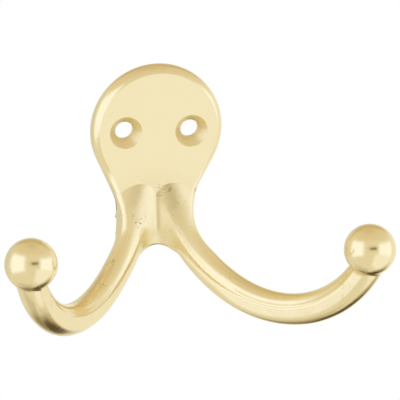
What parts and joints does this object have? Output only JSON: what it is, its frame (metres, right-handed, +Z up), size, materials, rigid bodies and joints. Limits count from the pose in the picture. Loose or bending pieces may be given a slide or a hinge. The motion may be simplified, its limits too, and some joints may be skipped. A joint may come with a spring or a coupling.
{
  "type": "double robe hook",
  "caption": "Cast brass wall hook with a round back plate, paired screw holes and two splayed arms that curl up to round balls.",
  "frame": {"origin": "midway between the axes of the two screw holes, on the wall plane", "axes": "+X to the right of someone facing the hook, through both screw holes; +Y into the wall; +Z up"},
  "size_m": [0.0772, 0.0454, 0.0473],
  "materials": {
    "polished_brass": "polished cast brass"
  },
  "bodies": {
    "root": {"double_hook": "polished_brass"}
  },
  "joints": []
}
